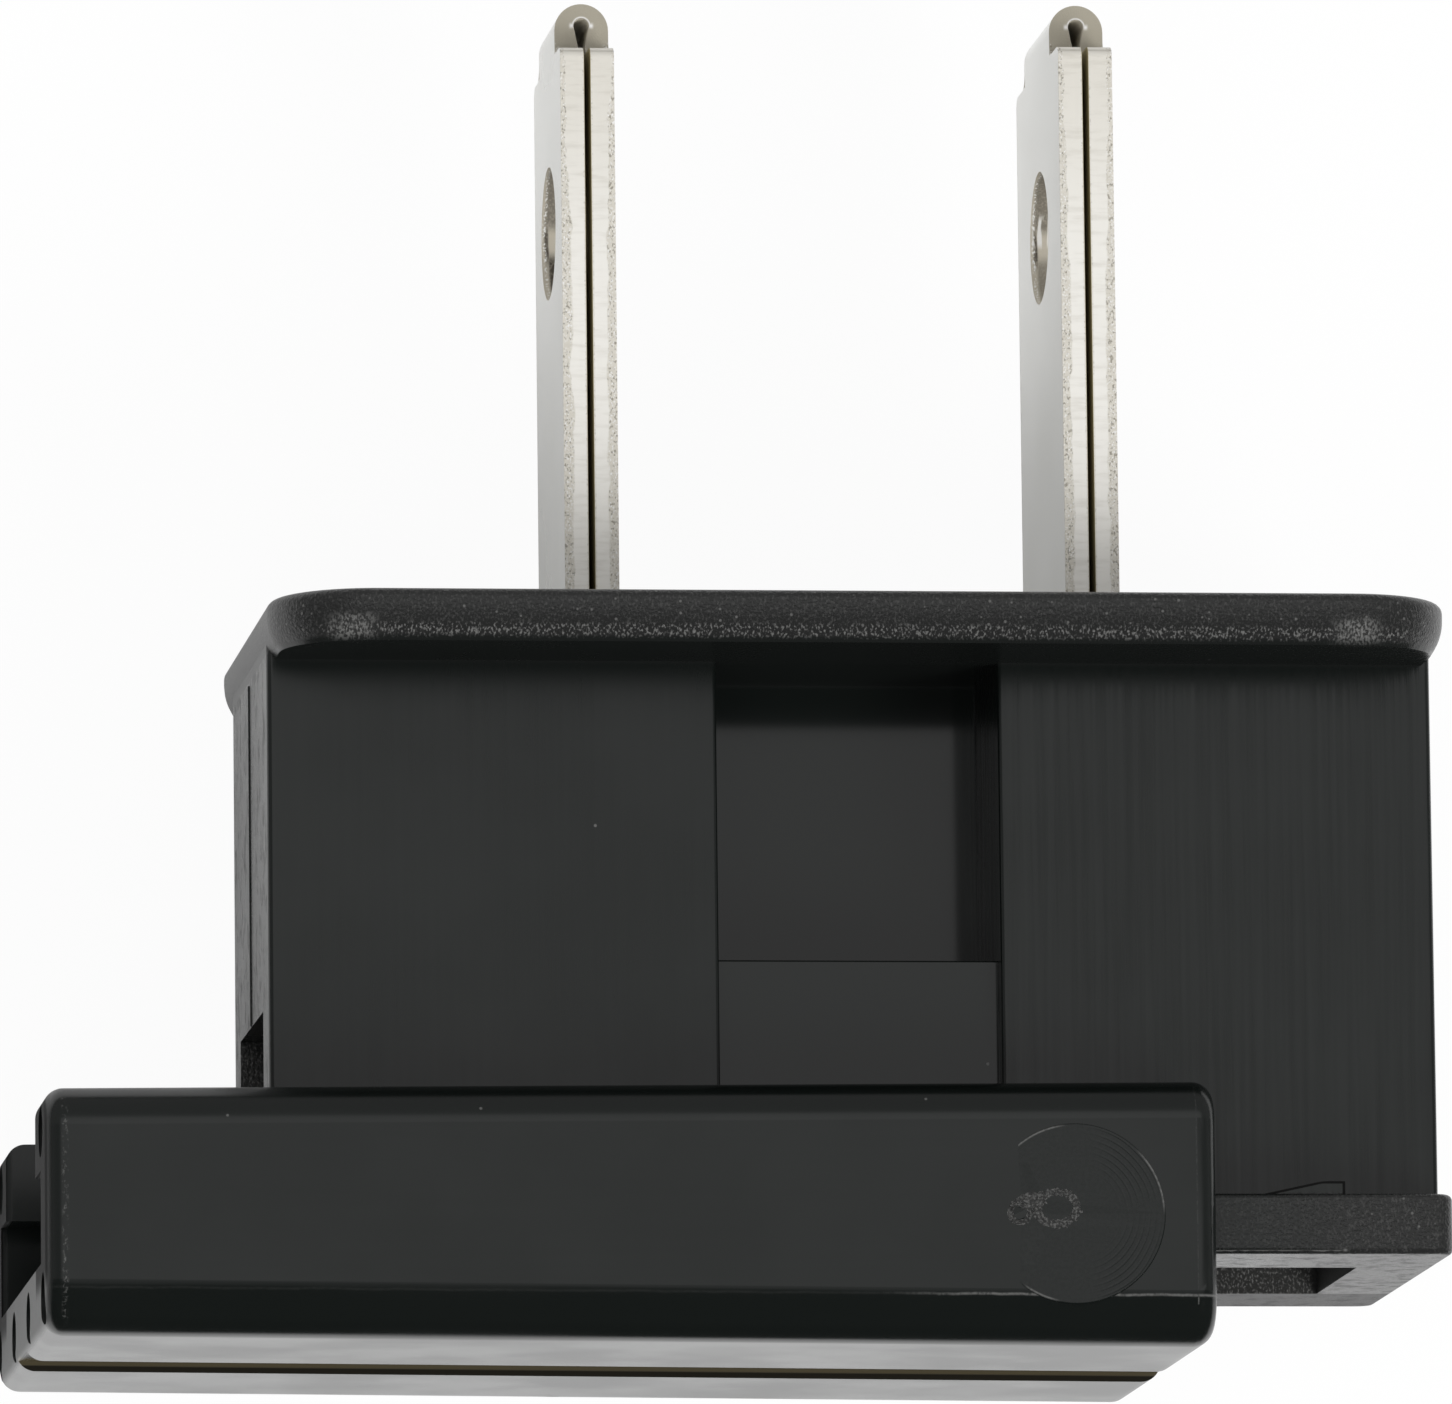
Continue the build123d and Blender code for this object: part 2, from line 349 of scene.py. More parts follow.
def outside(*masks):
    """Where none of the masks holds."""
    return less(1.0, either(*masks))


def distance(first, second):
    """Distance from a centre, given by two offsets at right angles."""
    return calc("SQRT", plus(both(first, first), both(second, second)))


def fade(value, low, high, start=0.0, end=1.0, kind="SMOOTHSTEP"):
    """Runs from start to end while value goes from low to high."""
    made = join(
        "ShaderNodeMapRange",
        {"Value": value, "From Min": low, "From Max": high, "To Min": start, "To Max": end},
        interpolation_type=kind)
    return made.outputs["Result"]


def band(value, low, high, soft):
    """One between low and high, zero outside, with soft sides."""
    return both(fade(value, low - soft, low + soft), fade(value, high + soft, high - soft))


def blend(factor, first, second):
    """Mixes two numbers by a factor."""
    return join("ShaderNodeMix", {0: factor, 2: first, 3: second}).outputs[0]


def tint(factor, first, second):
    """Mixes two colours by a factor."""
    return join("ShaderNodeMix", {0: factor, 6: first, 7: second}, data_type="RGBA").outputs[2]


def layer(mix, base, *coats):
    """Lays coats over a base by blend or tint, each where its mask holds."""
    for mask, coat in coats:
        base = mix(mask, base, coat)
    return base


def noise(place, scale, detail=3.0, rough=0.5):
    """Noise with its own scale along X, Y and Z, in cells per metre."""
    spread = join("ShaderNodeVectorMath", {0: place, 1: scale}, operation="MULTIPLY")
    made = join(
        "ShaderNodeTexNoise",
        {"Vector": spread.outputs[0], "Scale": 1.0, "Detail": detail, "Roughness": rough})
    return made.outputs["Fac"]


def centred(value):
    """A noise that goes evenly to both sides of zero."""
    return less(value, 0.5)


def specks(place, scale, radius, share):
    """Small round specks in a share of the cells of a cell pattern."""
    cells = join("ShaderNodeTexVoronoi", {"Vector": place, "Scale": scale})
    near = fade(cells.outputs["Distance"], radius, radius * 0.5)
    pick = join("ShaderNodeSeparateColor", {0: cells.outputs["Color"]})
    return both(near, calc("LESS_THAN", pick.outputs[0], share))


def dent(height, depth, normal=None):
    """Bump of a given depth in metres over an earlier normal."""
    sockets = {"Height": height, "Distance": depth, "Strength": 1.0}
    if normal is not None:
        sockets["Normal"] = normal
    return join("ShaderNodeBump", sockets).outputs["Normal"]


def split(place):
    """X, Y and Z of a place."""
    return join("ShaderNodeSeparateXYZ", {0: place}).outputs


def rays(tree):
    """Masks of the camera's own rays, and of those that are mirrored or refracted."""
    path = put(tree, "ShaderNodeLightPath").outputs
    return path["Is Camera Ray"], either(path["Is Glossy Ray"], path["Is Transmission Ray"])


def empty_tree(owner):
    """Node tree of a material or a world, with no nodes in it."""
    owner.use_nodes = True
    owner.node_tree.nodes.clear()
    return owner.node_tree


def new_finish(name):
    """A node material with its shader and its place on the object."""
    finish = bpy.data.materials.new(name)
    tree = empty_tree(finish)
    shader = put(tree, "ShaderNodeBsdfPrincipled")
    join("ShaderNodeOutputMaterial", {0: shader.outputs[0]})
    place = put(tree, "ShaderNodeTexCoord").outputs["Object"]
    return finish, shader, place


def wire(shader, **links):
    """Links values to the shader's sockets; an underscore stands for a space."""
    for name, value in links.items():
        shader.id_data.links.new(value, shader.inputs[name.replace("_", " ")])


def body_finish(plastic, zones):
    """Black plastic: grained flange, rail and pocket, drawn panels, polished recess."""
    finish, shader, place = new_finish("body_plastic")
    x, y, z = split(place)
    deep = unsigned(z)
    across = unsigned(less(x, zones.recess_shift))
    # Limits of the zones
    soft = 0.00006
    strip_under_rim = 0.00012
    rim_low = strip_under_rim - zones.flange_thickness
    rail_top = BODY_LOW.y + zones.rail_thickness
    rail_rear = -zones.pocket_half_width
    rail_grain_start, rail_grain_end = 0.0095, 0.0130
    panel_edge = zones.panel_depth - 0.0002
    recess_edge = panel_edge - 0.0003
    end_edge = panel_edge - 0.0001
    end_x = zones.body_half_length - soft
    # Zones
    flange = fade(y, rim_low - soft, rim_low + soft)
    rail = fade(y, rail_top + soft, rail_top - soft)
    rail_front = both(rail, fade(z, zones.rail_depth - soft, zones.rail_depth - soft / 2))
    rail_base = both(rail, fade(y, BODY_LOW.y + soft, BODY_LOW.y + soft / 2))
    rear_ledge = both(rail, fade(z, rail_rear + soft, rail_rear - soft))
    pocket = both(
        fade(deep, zones.pocket_half_width + soft, zones.pocket_half_width),
        fade(y, zones.pocket_top + soft, zones.pocket_top - soft),
        fade(x, zones.pocket_right + soft, zones.pocket_right - soft))
    rail_grain = both(rail, fade(x, rail_grain_start, rail_grain_end, 0.35, 1.0))
    grained = either(flange, rail_grain, pocket)
    plain = outside(flange, rail, pocket)
    recess = both(
        fade(across, zones.recess_half_width, zones.recess_half_width - soft),
        fade(deep, panel_edge, recess_edge), plain)
    smooth = less(plain, recess)
    ends = both(
        fade(unsigned(x), end_x - soft, end_x), fade(deep, panel_edge, end_edge), plain)
    # Patterns: grain, torn grain, drawn streaks, clouds, scuffs, pale dust and specks for painted glints
    cells = 1.0 / plastic.grain_size
    grain = centred(noise(place, (cells,) * 3, detail=2.0, rough=0.55))
    torn = noise(place, (cells * 1.5, cells * 0.9, cells * 0.9), detail=2.0)
    streak = centred(noise(place, (6500.0, 120.0, 6500.0), rough=0.6))
    cloud = noise(place, (240.0,) * 3)
    scuff = noise(place, (1700.0, 1200.0, 1700.0), detail=5.0, rough=0.7)
    dust = specks(place, scale=900.0, radius=0.045, share=0.16)
    glint_specks = specks(place, scale=5000.0, radius=0.24, share=0.26)
    # Painted highlight: grey sparkles of the grain on the rim low on the flange and on a patch at each
    # corner
    patch_shift, patch_half, patch_drop = 0.0003, 0.0005, 0.00004
    front = fade(deep, BODY_HIGH.z - 0.00075, BODY_HIGH.z - 0.00045)
    rim = band(y, rim_low, rim_low + zones.rim_height, soft=0.00008)
    off_patch = less(unsigned(plus(x, patch_shift)), zones.patch_place)
    patch_x = band(off_patch, -patch_half, patch_half, soft=0.0004)
    patch_y = band(y, rim_low - patch_drop, rim_low + patch_half, soft=0.00015)
    rim_sparkle_highlight = both(rim, fade(torn, 0.50, 0.68, 0.0, 0.75))
    corner_highlight = both(patch_x, patch_y, fade(torn, 0.42, 0.62, 0.08, 0.8))
    # The rim and the corner patches are a painted highlight, not wear
    rubbed = both(either(rim_sparkle_highlight, corner_highlight), front)
    # Painted glints: glitter and torn points of the grain on the flange and in the pocket, and on the rail
    # towards its right end
    points_start, glitter_start, rail_end_x = 0.0110, 0.0118, 0.0132
    rail_end = both(rail_front, fade(x, glitter_start, rail_end_x, 0.1, 1.0))
    speck_glints = both(glint_specks, either(flange, rail_end), 0.5)
    rail_glints = both(rail_front, fade(x, points_start, rail_end_x, 0.08, 0.16))
    points = either(both(flange, 0.16), both(pocket, 0.75), rail_glints)
    points = both(points, fade(torn, 0.50, 0.70))
    # Fine line and chip where the front of the rail meets its underside
    line_y = BODY_LOW.y + 0.00007
    line_width, wave_height = 0.00002, 0.00008
    chip_x, chip_height = zones.ramp_end - 0.00009, 0.00005
    wave = noise(place, (1500.0, 0.0, 0.0), rough=0.6)
    wavy = plus(y, both(centred(wave), wave_height))
    edge_line = both(
        rail_front, band(wavy, line_y, line_y + line_width, soft=0.000015),
        fade(x, zones.ramp_end, zones.ramp_end - 0.0002), fade(wave, 0.34, 0.60))
    chip = both(
        rail_front, band(x, chip_x, zones.ramp_end, soft=0.00005),
        band(wavy, line_y, line_y + chip_height, soft=0.00004))
    rubbed_edge = both(either(edge_line, chip), 0.8)
    pale_marks = either(rubbed, speck_glints, points, both(dust, plain, 0.6), rubbed_edge)
    # Painted shade: dark outline of the catch ramp; and a nick on each side of it
    ramp_front, nick_height = 0.0060, 0.00016
    left_nick, right_nick = zones.ramp_start - 0.00028, zones.ramp_end + 0.00144
    over_rail = less(y, rail_top)
    ramp_top = fade(x, zones.ramp_start, zones.ramp_crest, 0.0, zones.ramp_height, "LINEAR")
    slope = both(
        band(less(ramp_top, over_rail), -0.00002, 0.00006, soft=0.00001),
        band(x, zones.ramp_start, zones.ramp_end, soft=0.00003))
    steep = band(x, zones.ramp_end - 0.00007, zones.ramp_end + 0.00002, soft=0.00001)
    nicks = either(
        band(x, left_nick, left_nick + 0.00018, soft=0.00006),
        band(x, right_nick, right_nick + 0.00008, soft=0.00003))
    nicks = both(nicks, fade(over_rail, nick_height, nick_height / 4))
    on_ramp = both(fade(over_rail, -0.00003, 0.0), fade(over_rail, 0.0006, 0.0005))
    outline_shade = both(either(slope, steep), on_ramp, fade(z, ramp_front, ramp_front + 0.0001))
    marks_and_shade = either(outline_shade, both(nicks, on_ramp))
    # Colour
    under_rim = band(y, -zones.flange_thickness - soft, rim_low, soft)
    # Colour: the paler pocket is painted light, the grey marks hold dust, wear and painted highlights, and
    # the dark marks hold nicks and painted shade
    colour = layer(
        tint, plastic.colour, (grained, plastic.grain_colour), (both(under_rim, 0.3), plastic.grain_colour),
        (pocket, plastic.pocket_lit_colour), (pale_marks, plastic.wear_and_highlight_colour), (marks_and_shade, plastic.scratch_and_shade_colour))
    # Gloss and relief; the streaks grow stronger from left to right
    streak_start, streak_end = -0.004, 0.006
    cloudy = fade(cloud, 0.3, 0.7, plastic.panel_roughness - 0.03, plastic.panel_roughness + 0.03)
    drawn = both(streak, fade(x, streak_start, streak_end, 0.06, 0.30))
    scuffed = both(fade(scuff, 0.48, 0.66, 0.0, 0.26), either(ends, rail_base))
    gloss = layer(
        blend, plus(drawn, cloudy), (recess, plastic.recess_roughness), (grained, plastic.grain_roughness),
        (rear_ledge, plastic.grain_roughness + 0.15), (scuffed, plastic.shade_roughness),
        (marks_and_shade, plastic.shade_roughness))
    lively = blend(ends, fade(x, streak_start, streak_end, 0.25, 1.0), 0.4)
    normal = dent(both(streak, smooth, lively), plastic.streak_height)
    coarse = either(grained, both(ends, 0.3))
    normal = dent(both(grain, coarse), plastic.grain_height, normal)
    wire(shader, Base_Color=colour, Roughness=gloss, Normal=normal)
    return finish


def cover_finish(plastic, zones):
    """Black plastic: smooth cover with rubbed and light lines along its edges, a few specks, and painted
    shade and reflection in the groove and at the lip ends.
    """
    finish, shader, place = new_finish("cover_plastic")
    x, y, z = split(place)
    front = fade(z, COVER_HIGH.z - 0.0006, COVER_HIGH.z - 0.0003)
    base_y = fade(x, COVER_LOW.x, COVER_HIGH.x, COVER_LOW.y + zones.cover_draft, COVER_LOW.y, "LINEAR")
    over_base = less(y, base_y)
    # Patterns: fine grit, flow lines, clouds, a wave along the length and dust
    fine = noise(place, (13000.0, 9000.0, 9000.0), rough=0.65)
    flow = noise(place, (90.0, 1400.0, 400.0))
    cloud = noise(place, (300.0,) * 3)
    wave = noise(place, (900.0, 0.0, 0.0), rough=0.6)
    dust = specks(place, scale=800.0, radius=0.04, share=0.16)
    # Dotted wear where the left end rounds into the front
    left_x, left_width = COVER_LOW.x + 0.00042, 0.00012
    left_edge = both(
        front, band(x, left_x, left_x + left_width, soft=0.00005), fade(fine, 0.50, 0.72, 0.0, 0.5))
    # Wavy light line where the front rounds into the underside, which falls to the right
    fall_per_length, wave_height = 0.0070, 0.00010
    low_y, low_width = -0.01766, 0.00005
    strong_from, strong_to = 0.0, 0.0030
    fallen = plus(both(x, fall_per_length), y)
    fallen = plus(fallen, both(wave, wave_height))
    low_edge = both(
        front, band(fallen, low_y, low_y + low_width, soft=0.00003),
        fade(x, strong_from, strong_to, 0.05, 0.7), fade(fine, 0.30, 0.60, 0.3, 1.0))
    # Thin light line where the front rounds into the right end, strong at the low corner
    right_x, right_width = COVER_HIGH.x - 0.00054, 0.00002
    right_edge = both(
        front, band(x, right_x, right_x + right_width, soft=0.00002),
        fade(fine, 0.35, 0.6), fade(y, low_y - 0.00002, low_y - 0.00006, 0.12, 0.8),
        fade(y, low_y - 0.00032, low_y - 0.00028))
    pale_marks = either(left_edge, low_edge, right_edge, both(dust, 0.5))
    # Groove in the underside: brownish dust with a painted reflection in its far corner, painted shade
    # along its far edge
    dust_start, dust_full = zones.groove_back + 0.0012, zones.groove_back + 0.0006
    groove = both(
        band(z, zones.groove_back, zones.groove_front, soft=0.00002),
        fade(over_base, zones.groove_depth + 0.00006, zones.groove_depth + 0.00003))
    far_edge_shade = both(groove, fade(over_base, 0.00017, 0.00012))
    dust_and_reflection = both(groove, fade(z, dust_start, dust_full))
    # Small dull scratches on the underside
    stretch = (0.35, 1.0, 1.5)
    stretched = join("ShaderNodeVectorMath", {0: place, 1: stretch}, operation="MULTIPLY")
    scratch = specks(stretched.outputs[0], scale=1300.0, radius=0.10, share=0.08)
    scratch = both(scratch, fade(over_base, 0.00004, 0.00002, 0.0, 0.8))
    # The ends of the lips are dull, with painted shade on them, and the left end is as the mould left it
    lip_end_shade = both(
        fade(x, COVER_LOW.x + 0.00008, COVER_LOW.x + 0.00002),
        fade(unsigned(z), zones.lip_inside - 0.0002, zones.lip_inside),
        fade(over_base, 0.0010, 0.0016))
    left_end = both(
        fade(x, COVER_LOW.x + 0.00020, COVER_LOW.x + 0.00008), fade(over_base, 0.0001, 0.0004))
    marks_and_shade = either(far_edge_shade, scratch, lip_end_shade)
    # Colour, gloss and relief
    flow_height, left_end_height = 0.0000020, 0.000010
    colour = layer(
        tint, plastic.colour, (dust_and_reflection, plastic.groove_dust_and_reflection_colour), (pale_marks, plastic.wear_and_highlight_colour),
        (marks_and_shade, plastic.scratch_and_shade_colour))
    gloss = fade(cloud, 0.3, 0.7, plastic.panel_roughness - 0.06, plastic.panel_roughness)
    gloss = layer(blend, gloss, (left_end, plastic.panel_roughness + 0.2), (marks_and_shade, plastic.shade_roughness))
    normal = dent(both(flow, front), flow_height)
    normal = dent(both(centred(fine), left_end), left_end_height, normal)
    wire(shader, Base_Color=colour, Roughness=gloss, Normal=normal)
    return finish


def gate_finish(plastic, marks):
    """Black plastic of the round gate pad, with turned rings and a painted highlight on its rim in places.
    """
    finish, shader, place = new_finish("gate_plastic")
    axes = split(place)
    across = less(axes[0], marks.gate_centre[0])
    up = less(axes[1], marks.gate_centre[1])
    radius = distance(across, up)
    angle = calc("ARCTAN2", up, across)
    fine = noise(place, (11000.0,) * 3, detail=2.0, rough=0.6)
    drift = noise(place, (500.0,) * 3, detail=1.0)
    # Turned rings, on the right part of the pad
    ring_pitch, ring_height = 0.00015, 0.0000024
    turned = plus(radius, both(drift, ring_pitch * 1.5))
    rings = fade(calc("SINE", both(turned, 2.0 * pi / ring_pitch)), 0.2, 1.0)
    reach = both(fade(radius, 0.0009, 0.0015), fade(across, 0.0002, 0.0014))
    # Painted highlight: shining arcs of the rim; start, end and softness in degrees
    arcs = [
        band(angle, radians(start), radians(end), radians(soft))
        for start, end, soft in ((100, 146, 6), (4, 42, 6), (-124, -104, 4))]
    rim = band(radius, marks.gate_radius - 0.00006, marks.gate_radius - 0.00002, soft=0.00002)
    arc_highlight = both(rim, either(*arcs), fade(fine, 0.25, 0.6, 0.2, 0.6))
    colour = tint(arc_highlight, plastic.colour, plastic.wear_and_highlight_colour)
    gloss = fade(fine, 0.3, 0.7, plastic.panel_roughness - 0.05, plastic.panel_roughness + 0.03)
    normal = dent(both(rings, reach), ring_height)
    wire(shader, Base_Color=colour, Roughness=gloss, Normal=normal)
    return finish


def scar_finish(plastic):
    """Torn plastic of the gate scar."""
    finish, shader, place = new_finish("torn_plastic")
    tear_height = 0.00004
    fine = noise(place, (15000.0,) * 3, rough=0.65)
    colour = tint(fade(fine, 0.44, 0.66, 0.05, 0.55), plastic.grain_colour, plastic.wear_and_highlight_colour)
    shader.inputs["Roughness"].default_value = 0.4
    wire(shader, Base_Color=colour, Normal=dent(fine, tear_height))
    return finish


def nickel_finish(name, nickel, polish):
    """Nickel plate on a folded strip: smooth faces, sheared edges, stained and rubbed hole walls, and
    painted glints and highlights.
    """
    finish, shader, place = new_finish(name)
    x, y, z = split(place)
    low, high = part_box(name)
    half_width = high.z
    half_thick = (high.x - low.x) / 2
    half_gap = nickel.leaf_gap / 2
    fold_half = half_width * nickel.fold_share
    fold_edge = (fold_half - 0.00004, fold_half - 0.00001)
    shoulder_y = high.y - nickel.fold_drop
    rounded_y = shoulder_y - nickel.shoulder_radius
    worn_length = 0.006
    deep = unsigned(z)
    across = less(x, (low.x + high.x) / 2)
    off = unsigned(across)
    # Places: sheared edges and shoulders, end of the fold, gap between the leaves, eye, wall of the hole
    shoulder = both(
        fade(y, rounded_y - 0.00004, rounded_y), fade(deep, fold_half, fold_half + 0.00002),
        band(off, half_gap + 0.00001, half_thick - 0.00001, soft=0.000005))
    sheared = either(fade(deep, half_width - 0.00005, half_width - 0.00002), shoulder)
    fold = fade(y, shoulder_y + 0.00001, shoulder_y + 0.00004)
    fold_end = both(fold, fade(deep, *fold_edge))
    gap = both(fade(off, half_gap + 0.00002, half_gap), fade(y, shoulder_y + 0.00002, shoulder_y))
    eye_up = less(y, high.y - nickel.eye_drop)
    eye_inner, eye_outer = nickel.eye_radius + 0.00002, nickel.eye_radius + 0.00004
    eye = both(
        fade(off, eye_outer, eye_inner), fade(eye_up, eye_outer, eye_inner),
        outside(fade(deep, *fold_edge)))
    inside = either(gap, eye)
    up = less(y, high.y - nickel.hole_below_tip)
    wall = fade(distance(up, z), nickel.hole_radius + 0.00002, nickel.hole_radius)
    cut = either(sheared, fold_end, wall)
    # Patterns: grit of torn metal, ticks, rungs across the strip, drawn lines, clouds, blots and streaks
    grit = noise(place, (26000.0, 17000.0, 26000.0), rough=0.6)
    tick = noise(place, (19000.0, 13000.0, 19000.0), detail=2.0)
    rung = noise(place, (900.0, 5200.0, 300.0), rough=0.6)
    draw = noise(place, (2600.0, 70.0, 2600.0), rough=0.55)
    cloud = noise(place, (160.0,) * 3, detail=2.0)
    blot = noise(place, (1100.0, 900.0, 1100.0), detail=2.0)
    streaks = noise(place, (9000.0, 700.0, 700.0), detail=2.0)
    # Torn bands along the outer sides of both leaves, wider lower down, and along the gap
    ragged_width, torn_soft = 0.0003, 0.00003
    ragged = both(centred(blot), ragged_width)
    frayed = plus(across, ragged)
    reach = fade(y, shoulder_y, shoulder_y - worn_length, 0.00010, 0.00023)
    from_left = less(plus(frayed, half_thick), reach)
    from_right = less(less(half_thick, frayed), reach)
    left_torn = fade(from_left, torn_soft, -torn_soft)
    right_torn = fade(from_right, torn_soft, -torn_soft)
    lips = band(off, half_gap + 0.00001, half_gap + 0.00004, soft=0.00002)
    torn = both(either(left_torn, right_torn, both(lips, 0.6)), sheared)
    pits = both(torn, fade(tick, 0.55, 0.68, 0.0, 0.7))
    # Painted glints: bright points of the torn bands
    glints = both(torn, fade(grit, 0.54, 0.64))
    # Wall of the hole: a dark slit and stains further in, painted glints at its mouth, and rubbed streaks
    # painted bright as a highlight
    into = plus(plus(across, half_thick), both(ragged, 0.4))
    slit = both(band(into, 0.00008, 0.00018, soft=0.00003), band(up, -0.0005, 0.0005, soft=0.0003))
    low_stain = both(fade(into, 0.00010, 0.00020), fade(up, -0.0001, -0.0005, 0.0, 1.0 - polish / 2))
    high_stain = both(fade(into, 0.00002, 0.00012), fade(up, 0.0002, 0.0006, 0.0, 0.75))
    mouth = both(wall, band(into, 0.00004, 0.00012, soft=0.00003), fade(tick, 0.52, 0.58))
    bright = both(
        wall, band(up, 0.00005, 0.0008, soft=0.00012), fade(into, 0.00003, 0.00009),
        fade(streaks, 0.43, 0.53), polish)
    stain = both(
        wall, either(slit, low_stain, high_stain), fade(tick, 0.35, 0.55, 0.75, 1.0),
        outside(mouth, bright))
    # Painted highlights round the eye of the fold
    rim = band(distance(off, eye_up), nickel.eye_radius, eye_outer, soft=0.00002)
    rim = both(rim, fade(eye_up, -0.00006, 0.00002, 0.0, 0.8))
    sides = both(
        band(off, nickel.eye_radius, nickel.eye_radius + 0.00010, soft=0.00004),
        band(eye_up, -0.00005, 0.00005, soft=0.00006))
    glints = either(glints, mouth, bright, both(fold_end, either(rim, sides)))
    # Colour
    # Painted shade: a thin dark line where the flat face meets the sheared edge
    corner = band(deep, half_width - 0.00008, half_width - 0.00005, soft=0.00002)
    marks_and_shade = either(pits, both(corner, 0.35))
    near_tip = both(sheared, fade(y, shoulder_y - worn_length, shoulder_y, 0.0, 0.5))
    rungs = both(sheared, fade(rung, 0.45, 0.75, 0.0, 0.22))
    colour = layer(
        tint, nickel.face_colour, (sheared, nickel.shear_colour),
        (either(near_tip, both(torn, 0.7)), nickel.torn_colour), (rungs, nickel.fold_colour),
        (fold_end, nickel.fold_colour), (wall, nickel.wall_colour), (glints, nickel.glint_colour),
        (marks_and_shade, nickel.pit_and_shade_colour), (stain, nickel.stain_colour), (eye, nickel.torn_colour),
        (gap, nickel.brass_colour))
    # Metal, gloss and relief
    draw_height, grit_height = 0.0000016, 0.000010
    metal = layer(blend, 1.0, (cut, nickel.shear_metal), (either(inside, stain), 0.0))
    gloss = fade(cloud, 0.3, 0.7, nickel.face_roughness - 0.04, nickel.face_roughness + 0.04)
    gloss = layer(blend, gloss, (cut, nickel.shear_roughness), (inside, 1.0))
    normal = dent(both(draw, outside(cut, inside)), draw_height)
    rough = both(centred(grit), either(torn, fold_end, wall))
    normal = dent(rough, grit_height, normal)
    wire(shader, Base_Color=colour, Metallic=metal, Roughness=gloss, Normal=normal)
    return finish


def dress(piece, finish):
    """Gives a piece its finish."""
    piece.data.materials.clear()
    piece.data.materials.append(finish)


def add_object(name, data):
    """Adds an object to the scene."""
    made = bpy.data.objects.new(name, data)
    bpy.context.scene.collection.objects.link(made)
    return made


def add_piece(name, shape, finishes, body):
    """Makes a bmesh into a piece that rides on a body."""
    bmesh.ops.remove_doubles(shape, verts=shape.verts, dist=0.0000005)
    bmesh.ops.recalc_face_normals(shape, faces=shape.faces)
    mesh = bpy.data.meshes.new(name)
    for finish in finishes:
        mesh.materials.append(finish)
    shape.to_mesh(mesh)
    shape.free()
    piece = add_object(name, mesh)
    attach(piece, body)


def make_disc(half_x, half_y, height, segments):
    """A round or oval disc that stands on the ground plane."""
    shape = bmesh.new()
    bmesh.ops.create_circle(shape, cap_ends=True, segments=segments, radius=1.0)
    bmesh.ops.scale(shape, verts=shape.verts, vec=(half_x, half_y, 1.0))
    raised = bmesh.ops.extrude_face_region(shape, geom=shape.faces[:])
    tops = [part for part in raised["geom"] if isinstance(part, bmesh.types.BMVert)]
    bmesh.ops.translate(shape, verts=tops, vec=(0, 0, height))
    return shape


def round_edges(shape, edges, radius):
    """Rounds edges of a shape."""
    bmesh.ops.bevel(
        shape, geom=edges, offset=radius, offset_type="OFFSET", affect="EDGES", segments=2,
        profile=0.5, material=-1)


class PLUG_OT_finish_body(bpy.types.Operator):
    """Give the body its black plastic"""

    bl_idname = "plug.finish_body"
    bl_label = "Finish body"

    def execute(self, context):
        dress(BODY, body_finish(context.scene.plug_plastic, context.scene.plug_zones))
        return {"FINISHED"}


class PLUG_OT_finish_cover(bpy.types.Operator):
    """Give the cover its black plastic"""

    bl_idname = "plug.finish_cover"
    bl_label = "Finish cover"

    def execute(self, context):
        dress(COVER, cover_finish(context.scene.plug_plastic, context.scene.plug_zones))
        return {"FINISHED"}


class PLUG_OT_finish_blades(bpy.types.Operator):
    """Give both blades their nickel plate"""

    bl_idname = "plug.finish_blades"
    bl_label = "Finish blades"

    def execute(self, context):
        nickel = context.scene.plug_nickel
        for blade, polish in ((LEFT_BLADE, 0.0), (RIGHT_BLADE, nickel.hole_polish)):
            dress(blade, nickel_finish(blade.name, nickel, polish))
        return {"FINISHED"}


class PLUG_OT_add_gate_pad(bpy.types.Operator):
    """Add the round gate pad on the front of the cover"""

    bl_idname = "plug.add_gate_pad"
    bl_label = "Add gate pad"

    def execute(self, context):
        marks = context.scene.plug_marks
        foot = 0.0005
        rim_radius = 0.00003
        shape = make_disc(marks.gate_radius, marks.gate_radius, foot + marks.gate_rise, segments=96)
        self.cut(shape, (-marks.gate_flat, 0, 0), (-1, 0, 0), True)
        rim = [edge for edge in shape.edges if all(vert.co.z > foot for vert in edge.verts)]
        round_edges(shape, rim, rim_radius)
        # The flat side slopes into the cover, most of all around the scar
        column, row = 0.00014, 0.00032
        slope_end, slope_middle, slope_half = 0.00025, 0.0006, 0.0012
        sink = marks.gate_rise * 1.2
        for step in range(1, 6):
            self.cut(shape, (-marks.gate_flat + column * step, 0, 0), (-1, 0, 0), False)
        for step in range(-5, 6):
            self.cut(shape, (0, row * step, 0), (0, -1, 0), False)
        for vert in shape.verts:
            reach = slope_end + slope_middle * max(0.0, 1.0 - abs(vert.co.y) / slope_half)
            near = max(0.0, 1.0 - (vert.co.x + marks.gate_flat) / reach)
            if vert.co.z > foot - 0.0001:
                vert.co.z -= sink * near
        bmesh.ops.translate(shape, verts=shape.verts, vec=Vector(marks.gate_centre) - Vector((0, 0, foot)))
        finish = gate_finish(context.scene.plug_plastic, marks)
        add_piece("gate_pad", shape, [finish], "cover")
        return {"FINISHED"}

    def cut(self, shape, place, direction, clear):
        """Cuts the pad along a plane, and closes it where a side is taken off."""
        found = bmesh.ops.bisect_plane(
            shape, geom=shape.verts[:] + shape.edges[:] + shape.faces[:], dist=0.0000001,
            plane_co=place, plane_no=direction, clear_outer=clear)
        if clear:
            rim = [part for part in found["geom_cut"] if isinstance(part, bmesh.types.BMEdge)]
            bmesh.ops.contextual_create(shape, geom=rim)


